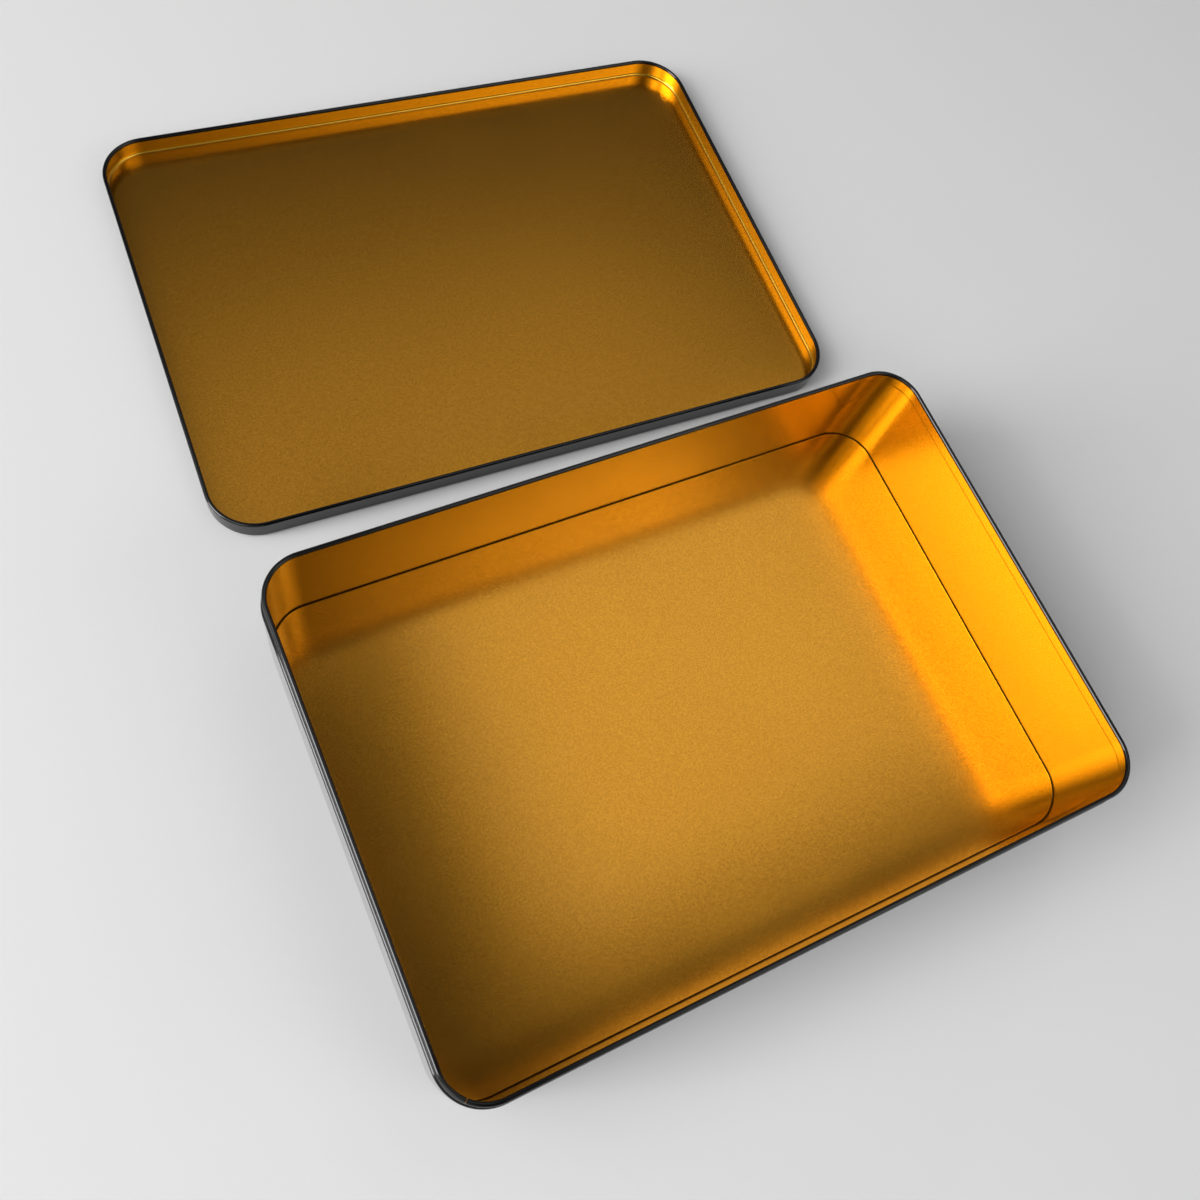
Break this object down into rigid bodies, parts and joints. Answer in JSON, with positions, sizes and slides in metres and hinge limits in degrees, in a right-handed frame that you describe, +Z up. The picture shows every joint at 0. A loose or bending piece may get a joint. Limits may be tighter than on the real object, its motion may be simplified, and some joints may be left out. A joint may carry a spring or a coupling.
{
  "type": "card game tin",
  "caption": "Low rectangular tinplate box with rounded corners, rolled rims and a shallow slip lid lying face down beside it.",
  "frame": {"origin": "on the table, at the middle of the rectangle that the open body and the lid lying behind it take up", "axes": "+X along the body's long side to the right, +Y from the body towards the lid, +Z up from the table"},
  "size_m": [0.2006, 0.2958, 0.038],
  "materials": {
    "black_enamel": "gloss black enamel outside and on the curls, gold lacquer inside",
    "gold_lacquer": "clear gold lacquer over bright rolled tinplate"
  },
  "bodies": {
    "tin_body": {"body_wall": "black_enamel", "bottom_panel": "gold_lacquer"},
    "lid": {"lid": "black_enamel"}
  },
  "joints": [
    {"name": "lid_lift", "type": "slide", "parent": "tin_body", "child": "lid", "axis": [0, 0, 1], "range_m": [0, 0.06]}
  ]
}
